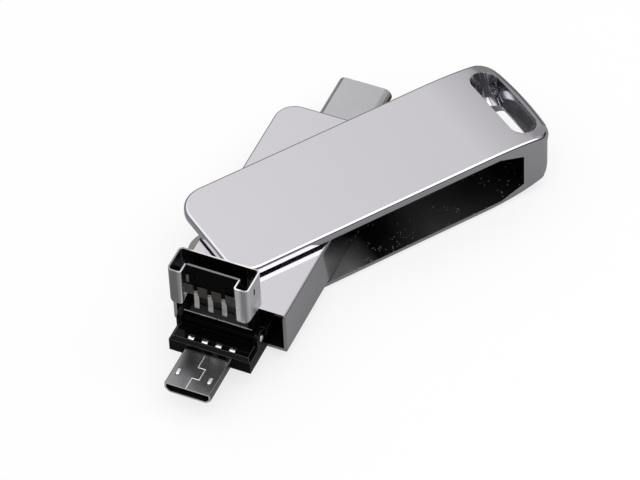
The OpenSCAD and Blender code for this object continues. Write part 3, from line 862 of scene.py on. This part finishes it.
def slot_cutter(size):
    low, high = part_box("cover")
    middle = (low.z + high.z) / 2
    half = middle - low.z - size.plate
    inner = low.x + size.end_block
    upper = [(high.x + OVER, half), (inner + size.slot_slope, half)]
    upper.append((inner, size.slot_wall / 2))
    points = [(x, middle + z) for x, z in upper]
    points += [(x, middle - z) for x, z in reversed(upper)]
    bm = bmesh.new()
    outline_prism(bm, points, 1, low.y - OVER, high.y + OVER)
    return thing("cutter", bm, "slot_inside")


class MakeCover(bpy.types.Operator):
    """Build the swivel cover with its slot and lanyard hole"""

    bl_idname = "flash_drive.cover"
    bl_label = "Swivel cover"

    def execute(self, context):
        size = context.scene.drive_cover
        cover = cover_block(size)
        carve(cover, slot_cutter(size))
        carve(cover, lanyard_cutter(size))
        place_piece(cover, "cover", "polished_metal", "cover", place=HERE, angle=30)
        return {"FINISHED"}


class MakeSleeve(bpy.types.Operator):
    """Build the body's sleeve, open in front and closed at the rear"""

    bl_idname = "flash_drive.sleeve"
    bl_label = "Body sleeve"

    def execute(self, context):
        size = context.scene.drive_body
        low, high = local_box("body_sleeve")
        bm = bmesh.new()
        block(bm, low, high)
        bevel_edges(bm, edges_at(bm, 2, x=low.x), size.rear_r, 10)
        front = [face for face in bm.faces if face.normal.x > 0.9]
        bmesh.ops.delete(bm, geom=front, context="FACES_ONLY")
        bevel_edges(bm, rim_edges(bm), size.edge, 4)
        sleeve = thing("body_sleeve_skin", bm, "polished_metal", "painted_shade_inside")
        # the inner faces take near-black painted shade
        give_wall(sleeve, size.wall, inner=1)
        plug_low, plug_high = local_box("usb_c_shell")
        plug_low.x, plug_high.x = low.x - OVER, low.x + 2 * size.wall
        bm = bmesh.new()
        oval_tube(bm, plug_low, plug_high, size.gap)
        cap(bm)
        carve(sleeve, thing("cutter", bm, "polished_metal"))
        bm = bmesh.new()
        bmesh.ops.create_cone(
            bm, cap_ends=True, segments=64, radius1=size.stud_d / 2,
            radius2=size.stud_d / 2, depth=high.z - low.z + OVER,
        )
        carve(sleeve, thing("cutter", bm, "polished_metal"))
        place_piece(sleeve, "body", "polished_metal", "body_sleeve")
        return {"FINISHED"}


class MakeRearPlug(bpy.types.Operator):
    """Build the oval rear plug's shell"""

    bl_idname = "flash_drive.rear_plug"
    bl_label = "USB-C plug"

    def execute(self, context):
        bm = bmesh.new()
        oval_tube(bm, *local_box("usb_c_shell"))
        shell = thing("usb_c_skin", bm, "satin_metal")
        give_wall(shell, context.scene.drive_plugs.thin)
        place_piece(shell, "body", "plug_metal", "usb_c_shell")
        return {"FINISHED"}


def copied_node(name, node, *finishes):
    """A merged copy of a CAD node's mesh, in the body frame."""
    bm = bmesh.new()
    bm.from_mesh(frame["nodes"][node].data)
    bmesh.ops.transform(bm, matrix=BODY.inverted(), verts=bm.verts)
    bmesh.ops.remove_doubles(bm, verts=bm.verts, dist=NEAR)
    bmesh.ops.dissolve_limit(
        bm, angle_limit=math.radians(0.5), verts=bm.verts, edges=bm.edges
    )
    return as_object(name, bm, *finishes)


def four_strips(name, profile, pitch, width, thick):
    """Four equal bent strips: a profile in X and Z, swept over a width."""
    bm = bmesh.new()
    for place in (-1.5, -0.5, 0.5, 1.5):
        points = [(x, place * pitch - width / 2, z) for x, z in profile]
        swept_sheet(bm, points, (0, width, 0))
    strips = thing(name, bm, "spring_contacts")
    modify(strips, "SOLIDIFY", thickness=thick, offset=0)
    return strips


def carrier_pads(size):
    """Four arched contacts that press on the flip plug's fingers when it is shut."""
    low, high = local_box("carrier_contacts")
    thick = size.pad_t
    span = high.x - low.x
    # shares of the length from the rear, and mm under the highest place
    arch = ((0.06, 0.1), (0.14, 0.02), (0.3, 0), (0.5, 0), (0.68, 0.03), (0.84, 0.085))
    places = [(low.x + share * span, drop) for share, drop in arch]
    places.append((high.x - thick / 2, 0.16))
    profile = [(x, high.z - thick / 2 - drop * MM) for x, drop in places]
    return four_strips("pads", profile, size.pitch, size.pad_w, thick)


class MakeCarrier(bpy.types.Operator):
    """Build the black carrier, its contacts and the hinge pin"""

    bl_idname = "flash_drive.carrier"
    bl_label = "Carrier and hinge pin"

    def execute(self, context):
        # its rounded edges take a lighter black as painted highlight
        carrier = copied_node("carrier_block", "carrier", "gloss_black", "black_painted_highlight")
        place_piece(carrier, "body", "gloss_black", "carrier")
        pads = carrier_pads(context.scene.drive_plugs)
        place_piece(pads, "body", "spring_contacts", "carrier_contacts")
        low, high = local_box("hinge_pin")
        middle = (low + high) / 2
        flat = Matrix.Diagonal((1, 0.35, 1, 1))
        bm = bmesh.new()
        for y in (low.y, high.y):
            bmesh.ops.create_uvsphere(
                bm, u_segments=16, v_segments=8, radius=0.5 * MM,
                matrix=Matrix.Translation((middle.x, y, middle.z)) @ flat,
            )
        # pin ends in near-white steel, partly painted highlight
        place_piece(thing("pin_heads", bm, "steel_painted_highlight"), "body", "turned_steel")
        pin = copied_node("steel_pin", "hinge_pin", "turned_steel")
        place_piece(pin, "body", "turned_steel", "hinge_pin")
        return {"FINISHED"}


def seam_cutter(size, low, high):
    """A stepped channel along the small plug's upper face."""
    half = size.seam / 2
    near = size.seam_y
    far = near + size.seam_step
    back, front = high.x - size.seam_back, high.x - size.seam_front
    # the groove's middle line, and which way along X the corner on its side y + half moves
    line = [
        (low.x - OVER, near, 0),
        (back, near, -1),
        (back, far, -1),
        (front, far, 1),
        (front, near, 1),
        (high.x + OVER, near, 0),
    ]
    points = [(x + way * half, y + half) for x, y, way in line]
    points += [(x - way * half, y - half) for x, y, way in reversed(line)]
    bm = bmesh.new()
    outline_prism(bm, points, 2, high.z - half, high.z + OVER)
    # the groove's walls take near-white steel as painted highlight along the seam
    return thing("cutter", bm, "steel_painted_highlight")


def micro_skin(size):
    """The small plug's shell: bent sheet with two slots and a stepped seam."""
    low, high = local_box("micro_usb_shell")
    high.z -= size.clear
    cut = size.micro_bevel
    points = [(high.y, high.z), (high.y, low.z + cut), (high.y - cut, low.z)]
    points += [(low.y + cut, low.z), (low.y, low.z + cut), (low.y, high.z)]
    bm = bmesh.new()
    outline_prism(bm, points, 0, low.x, high.x)
    ends = [face for face in bm.faces if abs(face.normal.x) > 0.9]
    bmesh.ops.delete(bm, geom=ends, context="FACES_ONLY")
    bevel_edges(bm, edges_at(bm, 0, z=high.z), size.thin, 4)
    bevel_edges(bm, edges_at(bm, 0, z=low.z), size.thin, 4)
    shell = thing("micro_skin", bm, "micro_metal", "painted_shade_inside", "steel_painted_highlight")
    # the inner faces take near-black painted shade
    give_wall(shell, size.thin, inner=1)
    # the front rim takes near-white steel as painted highlight
    for polygon in shell.data.polygons:
        if polygon.normal.x > 0.9:
            polygon.material_index = 2
    hook_high = local_box("micro_usb_latch")[1]
    room = size.slot_room
    for side in (-1, 1):
        y = side * (hook_high.y - size.hook_w / 2)
        wide = size.hook_w / 2 + room / 2
        cut_block(
            shell,
            (hook_high.x - size.hook_len - 2 * room, y - wide, high.z - 2 * size.thin),
            (hook_high.x + room, y + wide, high.z + OVER),
            "micro_metal",
        )
    round_edges(shell, size.micro_round / MM)
    carve(shell, seam_cutter(size, low, high))
    return shell


def micro_hooks(size):
    """Two sprung arms with rounded hooks, joined at their root."""
    low, high = local_box("micro_usb_latch")
    bm = bmesh.new()
    half = size.hook_w / 2
    block(bm, low, (low.x + size.hook_root, high.y, low.z + size.arm))
    for side in (-1, 1):
        y = side * (high.y - half)
        block(bm, (low.x, y - half, low.z), (high.x, y + half, low.z + size.arm))
        hook = block(bm, (high.x - size.hook_len, y - half, low.z), (high.x, y + half, high.z))
        upright = [edge for edge in hook if runs_along(edge, 2)]
        bevel_edges(bm, upright, 0.8 * half, 5)
        crown = [
            edge
            for edge in bm.edges
            if min(v.co.z for v in edge.verts) > high.z - NEAR
            and edge.verts[0].co.y * side > 0
        ]
        bevel_edges(bm, crown, size.hook_round, 4)
    # the hooks in near-white steel, partly painted highlight
    return thing("micro_hooks", bm, "steel_painted_highlight")


class MakeMicroPlug(bpy.types.Operator):
    """Build the small front plug and its sprung hooks"""

    bl_idname = "flash_drive.micro_plug"
    bl_label = "Micro-USB plug"

    def execute(self, context):
        size = context.scene.drive_plugs
        place_piece(micro_skin(size), "body", "plug_metal", "micro_usb_shell")
        place_piece(micro_hooks(size), "micro_latch", "spring_steel", "micro_usb_latch")
        return {"FINISHED"}


def set_back_lips(bm, low, high, size):
    """Starts the lips a little in front of the flanges, which have round corners."""
    lip = size.lip_gap / 2
    rear = low.x + size.tail
    for vert in bm.verts:
        if vert.co.x > rear + NEAR or vert.co.z > 0:
            continue
        inner = max(0.0, lip + size.fold - abs(vert.co.y)) / size.fold
        depth = max(0.0, vert.co.z - low.z - size.fold) / size.lip
        outside = max(0.0, abs(vert.co.y) - (high.y - size.bend)) / size.bend
        shift = size.flange_round * inner**2 + size.corner_round * outside**2
        if abs(vert.co.y) < lip + NEAR:
            shift += size.lip_slant * depth
        vert.co.x += shift


def flip_skin(size):
    """The flip plug's shell: one bent sheet with two folded lips and a tail."""
    low, high = local_box("flip_plug_shell", FLIP)
    tongue_z = local_box("flip_plug_housing", FLIP)[0].z
    lip = size.lip_gap / 2
    rear = low.x + size.tail
    path = [(-lip, low.z + size.lip), (-lip, low.z), (low.y, low.z), (low.y, high.z)]
    path += [(-y, z) for y, z in reversed(path)]
    bm = bmesh.new()
    swept_sheet(bm, [(rear, y, z) for y, z in path], (high.x - rear, 0, 0))
    outer = edges_at(bm, 0, y=low.y) + edges_at(bm, 0, y=high.y)
    bevel_edges(bm, outer, size.bend, 7)
    folds = [edge for edge in edges_at(bm, 0, z=low.z) if abs(edge.verts[0].co.y) < lip + NEAR]
    bevel_edges(bm, folds, size.fold, 5)
    set_back_lips(bm, low, high, size)
    roof = [
        edge
        for edge in edges_at(bm, 1, z=high.z)
        if edge.is_boundary and edge.verts[0].co.x < rear + NEAR
    ]
    push(bm, bmesh.ops.extrude_edge_only(bm, edges=roof), (low.x - rear, 0, 0))
    bmesh.ops.recalc_face_normals(bm, faces=bm.faces)
    top = max(bm.faces, key=lambda face: face.calc_center_median().z)
    if top.normal.z < 0:
        bmesh.ops.reverse_faces(bm, faces=bm.faces)
    shell = as_object("flip_skin", bm, "plug_metal", "sheet_painted_shade")
    # the inner faces take the darker copy of the plating as painted shade
    give_wall(shell, size.sheet, inner=1)
    tab = high.x - size.tab_back
    cut_block(
        shell,
        (tab, low.y - OVER, tongue_z - size.gap),
        (tab + size.tab_len, high.y + OVER, tongue_z + size.tongue + size.gap),
        "plug_metal",
    )
    return shell


def flip_fingers(size):
    """Four contact strips that step up and end in slightly bowed fingers."""
    low, high = local_box("flip_plug_contacts", FLIP)
    thick = size.finger_t
    inner = high.z - thick / 2
    strip_z = low.z + thick / 2
    step = high.x - size.strip_len
    profile = [
        (high.x, strip_z),
        (step, strip_z),
        (step - 0.25 * MM, strip_z + 0.35 * (inner - strip_z)),
        (step - 0.5 * MM, inner - 0.02 * MM),
        (step - 0.9 * MM, inner),
        (low.x + 1.0 * MM, inner),
        (low.x + 0.35 * MM, inner - 0.04 * MM),
        (low.x, inner - 0.12 * MM),
    ]
    return four_strips("fingers", profile, size.pitch, size.finger_w, thick)


def tongue_lands(size):
    """Plated lands on the tongue between the slots of the four fingers."""
    high = local_box("flip_plug_shell", FLIP)[1]
    z = local_box("flip_plug_housing", FLIP)[0].z
    half = (size.pitch - size.slot_w) / 2
    bm = bmesh.new()
    for place in (-2, -1, 0, 1, 2):
        y = place * size.pitch + size.land_shift
        near, far = y - half, y + half
        if abs(place) == 2:
            edge = size.lip_gap / 2 + size.sheet
            side = math.copysign(1, place)
            near, far = sorted((side * edge, y - side * half))
        edges = block(
            bm,
            (high.x - size.land_back, near, z - 0.03 * MM),
            (high.x - size.land_front, far, z + 0.1 * MM),
        )
        bevel_edges(bm, edges, 0.025 * MM, 2)
    return thing("tongue_lands", bm, "land_plating")


def thin_boxes(name, finish, boxes, place, slot):
    """A detail of the flip plug, made of boxes."""
    bm = bmesh.new()
    for low, high in boxes:
        block(bm, low, high)
    place_piece(thing(name, bm, finish), "flip_plug", slot, place=place)


def flip_details(size):
    """Thin pieces in the flip plug: a black sheet under the roof as painted shade, a lighter strip on the tongue's
    edge as painted highlight, and a bright bar on the ledge's edge as painted highlight.
    """
    high = local_box("flip_plug_shell", FLIP)[1]
    tongue_z = local_box("flip_plug_housing", FLIP)[0].z
    inner = size.lip_gap / 2
    roof = high.z - size.sheet
    # a black sheet just under the roof, as painted shade in the plug's mouth
    roof_shade_sheet = (
        (high.x - 7 * MM, -inner, roof - 0.06 * MM),
        (high.x - 0.15 * MM, inner, roof + 0.05 * MM),
    )
    thin_boxes("roof_painted_shade", "tongue_black", [roof_shade_sheet], FLIP, "gloss_black")
    # a lighter strip along the tongue's edge, as painted highlight
    edge_painted_highlight = (
        (high.x - 3.6 * MM, -inner - 0.05 * MM, tongue_z - 0.04 * MM),
        (high.x - 2.2 * MM, -inner + 0.2 * MM, tongue_z + 0.1 * MM),
    )
    thin_boxes("strip_painted_highlight", "tongue_painted_highlight", [edge_painted_highlight], FLIP, "gloss_black")
    # a bright bar on the ledge's edge, as painted highlight; it stays clear of the carrier when the plug is shut
    back, front = (HINGE.translation.x + x * MM for x in (0.52, 0.635))
    under, over = size.ledge - 0.08 * MM, size.ledge + 0.08 * MM
    edge = [
        ((back, start * MM, under), (front, end * MM, over))
        for start, end in ((-5.1, -0.25), (-0.1, 5.1))
    ]
    thin_boxes("ledge_painted_highlight", "steel_painted_highlight", edge, BODY, "plug_metal")


def flip_core(size):
    """The black block: a lighter, rougher black on its ledge, a lighter black on its outer end as painted
    highlight, and set-back corners.
    """
    core = copied_node(
        "flip_core", "flip_plug_housing", "tongue_black", "matte_ledge_black", "tongue_painted_highlight"
    )
    top = max(vert.co.z for vert in core.data.vertices)
    for polygon in core.data.polygons:
        # the ledge's upper face takes a lighter, rougher black
        if polygon.normal.z > 0.9 and abs(polygon.center.z - size.ledge) < 0.2 * MM:
            polygon.material_index = 1
        # the tongue's outer end takes a lighter black as painted highlight
        if polygon.center.z > top - NEAR:
            polygon.material_index = 2
    span = core.dimensions.y
    for side in (-1, 1):
        near, far = sorted((side * size.lip_gap / 2, side * span))
        cut_block(core, (0, near, top - size.corner), (1, far, top + OVER), "tongue_black")
    return core


class MakeFlipPlug(bpy.types.Operator):
    """Build the hinged plug: its shell, black block with tongue, and fingers"""

    bl_idname = "flash_drive.flip_plug"
    bl_label = "Flip USB-A plug"

    def execute(self, context):
        size = context.scene.drive_plugs
        shell = flip_skin(size)
        place_piece(shell, "flip_plug", "plug_metal", "flip_plug_shell", place=FLIP)
        place_piece(flip_core(size), "flip_plug", "gloss_black", "flip_plug_housing")
        fingers = flip_fingers(size)
        place_piece(fingers, "flip_plug", "spring_contacts", "flip_plug_contacts", place=FLIP)
        flip_details(size)
        place_piece(tongue_lands(size), "flip_plug", "spring_contacts", place=FLIP)
        return {"FINISHED"}


# The finishes of CAD nodes that keep their shape.
INSIDE = {
    "turned_steel": ("pivot_stud_upper", "pivot_stud_lower"),
    "washer_plastic": ("friction_washer_upper", "friction_washer_lower"),
    "spring_steel": ("snap_ring_upper", "snap_ring_lower", "crystal", "usb_c_latch_plate"),
    "black_plastic": ("tray_upper", "tray_lower", "usb_c_housing", "micro_usb_housing"),
    "gold": ("usb_c_contacts", "micro_usb_contacts"),
    "chip_resin": ("memory_chip", "controller_chip"),
    "ceramic": ("passives",),
    "board": ("circuit_board",),
}


class FinishInside(bpy.types.Operator):
    """Give the swivel's small parts, the board and the plugs' insides their finishes"""

    bl_idname = "flash_drive.inside"
    bl_label = "Swivel parts and board"

    def execute(self, context):
        for finish, nodes in INSIDE.items():
            for node in nodes:
                materials = frame["nodes"][node].data.materials
                materials.clear()
                materials.append(FINISHES[finish])
        return {"FINISHED"}


# ---- Stage ----


def heading(turn, tilt):
    """The way that points along a heading in plan, tilted up."""
    flat = math.cos(tilt)
    return Vector((flat * math.cos(turn), flat * math.sin(turn), math.sin(tilt)))


def make_camera(stage):
    ahead = heading(stage.camera_turn, -stage.camera_tilt)
    right = ahead.cross(Vector((0, 0, 1))).normalized()
    right.rotate(Matrix.Rotation(-stage.camera_roll, 3, ahead))
    up = right.cross(ahead)
    pivot = Vector(JOINTS["swivel"]["pos_m"])
    spot = pivot - ahead * stage.distance - right * stage.sideways - up * stage.upwards
    data = bpy.data.cameras.new("camera")
    data.sensor_width = 36.0
    data.lens = stage.focal
    data.clip_start = 0.01
    camera = add_object("camera", data)
    look = Matrix((right, up, -ahead)).transposed().to_4x4()
    camera.matrix_world = Matrix.Translation(spot) @ look
    bpy.context.scene.camera = camera


def make_softbox(stage):
    """A rectangular lamp that faces the drive from a metre away."""
    data = bpy.data.lights.new("overhead_softbox", "AREA")
    data.shape = "RECTANGLE"
    data.size, data.size_y = 1.1, 0.9
    data.energy = stage.lamp
    lamp = add_object("overhead_softbox", data)
    lamp.location = heading(stage.lamp_turn, stage.lamp_tilt)
    lamp.rotation_euler = lamp.location.to_track_quat("Z", "Y").to_euler()


# The room's grey from straight down (0) past eye level (0.5) to overhead (1).
ROOM = (
    (0.0, (0.06, 0.06, 0.065)),
    (0.25, (0.09, 0.09, 0.10)),
    (0.50, (0.62, 0.61, 0.63)),
    (0.66, (0.86, 0.85, 0.865)),
    (0.80, (1.0, 0.99, 1.0)),
    (1.0, (1.0, 1.0, 1.0)),
)


def make_world(stage):
    """A studio that is dark below and soft white overhead; white where it is seen."""
    world = bpy.data.worlds.new("studio")
    bpy.context.scene.world = world
    shader = Shader(world)
    way = shader.add("TexCoord", out=0)
    height = shader.add("SeparateXYZ", {0: way}, 2)
    room = shader.add("ValToRGB", {0: height}, stops=ROOM)
    # one side of the room is a little brighter
    aside = (math.sin(stage.camera_turn), -math.cos(stage.camera_turn), 0)
    ends = {"From Min": -0.25, "From Max": 0.25, "To Min": 1.4, "To Max": 0.6}
    share = shader.add("MapRange", {"Value": shader.along(way, aside), **ends})
    room = shader.scale(room, share)
    colour = shader.mix(shader.add("LightPath", out=0), room, (1, 1, 1, 1))
    light = shader.add("Background", {"Color": colour, "Strength": stage.room_light})
    shader.add("OutputWorld", {"Surface": light})


def make_floor(stage):
    """Pale paper that keeps the shadow; its glow whitens it for the camera."""
    shader = new_finish("floor_paper")
    paper = shader.add("BsdfDiffuse", {"Color": (0.8, 0.8, 0.8, 1)})
    glow = shader.add("Emission", {"Color": (1, 1, 1, 1), "Strength": 1.0})
    tint = (1.0, 1.0, 1.03, 1)
    dim = shader.add("Emission", {"Color": tint, "Strength": stage.floor_gloss})
    seen, glossy, through = (shader.add("LightPath", out=i) for i in (0, 5, 6))
    mirrored = shader.add("MixShader", {0: (glossy + through) * 0.7, 1: paper, 2: dim})
    mixed = shader.add("MixShader", {0: seen * 0.75, 1: mirrored, 2: glow})
    shader.add("OutputMaterial", {"Surface": mixed})
    bm = bmesh.new()
    bmesh.ops.create_grid(bm, x_segments=1, y_segments=1, size=3.0)
    thing("floor", bm, "floor_paper")


class MakeStage(bpy.types.Operator):
    """Set up the floor, the lamp, the world and the camera"""

    bl_idname = "flash_drive.stage"
    bl_label = "Stage and camera"

    def execute(self, context):
        context.scene.view_settings.view_transform = "Standard"
        stage = context.scene.drive_stage
        make_camera(stage)
        make_floor(stage)
        make_world(stage)
        make_softbox(stage)
        return {"FINISHED"}


OPERATORS = [
    MakeFinishes,
    MakeCover,
    MakeSleeve,
    MakeRearPlug,
    MakeCarrier,
    MakeMicroPlug,
    MakeFlipPlug,
    FinishInside,
    MakeStage,
]
SETTINGS = {
    "drive_cover": CoverSettings,
    "drive_body": BodySettings,
    "drive_plugs": PlugSettings,
    "drive_finish": FinishSettings,
    "drive_stage": StageSettings,
}


class DrivePanel(bpy.types.Panel):
    """Lists the pieces that can be built"""

    bl_idname = "VIEW3D_PT_flash_drive"
    bl_label = "Flash drive"
    bl_space_type = "VIEW_3D"
    bl_region_type = "UI"
    bl_category = "Flash drive"

    def draw(self, context):
        for operator in OPERATORS:
            self.layout.operator(operator.bl_idname)
        for name, group in SETTINGS.items():
            box = self.layout.box()
            box.label(text=group.__doc__)
            for key in group.__annotations__:
                box.prop(getattr(context.scene, name), key)


def register():
    for group in SETTINGS.values():
        bpy.utils.register_class(group)
    for name, group in SETTINGS.items():
        setattr(bpy.types.Scene, name, bpy.props.PointerProperty(type=group))
    for operator in OPERATORS:
        bpy.utils.register_class(operator)
    bpy.utils.register_class(DrivePanel)


def unregister():
    bpy.utils.unregister_class(DrivePanel)
    for operator in reversed(OPERATORS):
        bpy.utils.unregister_class(operator)
    for name in SETTINGS:
        delattr(bpy.types.Scene, name)
    for group in reversed(SETTINGS.values()):
        bpy.utils.unregister_class(group)


def main():
    register()
    for operator in OPERATORS:
        prefix, name = operator.bl_idname.split(".")
        getattr(getattr(bpy.ops, prefix), name)()


if __name__ == "__main__":
    main()
